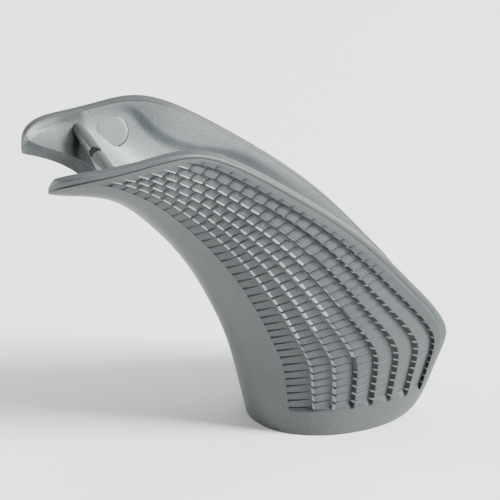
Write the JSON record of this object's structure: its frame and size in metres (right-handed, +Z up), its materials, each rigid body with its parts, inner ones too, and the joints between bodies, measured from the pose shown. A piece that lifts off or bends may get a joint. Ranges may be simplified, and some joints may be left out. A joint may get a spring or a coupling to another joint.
{
  "type": "grip backstrap",
  "caption": "Curved hollow U-channel grip backstrap with two horns, a round notch, a smooth spine and tiled side walls.",
  "frame": {"origin": "on the heel rim plane, under the middle of the part's length and width", "axes": "+X forward, from the horns towards the free front edge; +Y to the left; +Z up, away from the flat heel rim"},
  "size_m": [0.0785, 0.0336, 0.0648],
  "materials": {
    "core_polymer": "satin moulded polymer, light spark texture",
    "grip_polymer": "matte fine-grained polymer",
    "tread_polymer": "matte fine-grained polymer, raised tiles",
    "stud_polymer": "smooth satin polymer"
  },
  "bodies": {
    "root": {"core_channel": "core_polymer", "outer_skin": "grip_polymer", "left_stud": "stud_polymer", "right_stud": "stud_polymer", "left_tread_1": "tread_polymer", "left_tread_2": "tread_polymer", "left_tread_3": "tread_polymer", "left_tread_4": "tread_polymer", "left_tread_5": "tread_polymer", "left_tread_6": "tread_polymer", "left_tread_7": "tread_polymer", "left_tread_8": "tread_polymer", "right_tread_1": "tread_polymer", "right_tread_2": "tread_polymer", "right_tread_3": "tread_polymer", "right_tread_4": "tread_polymer", "right_tread_5": "tread_polymer", "right_tread_6": "tread_polymer", "right_tread_7": "tread_polymer", "right_tread_8": "tread_polymer"}
  },
  "joints": []
}
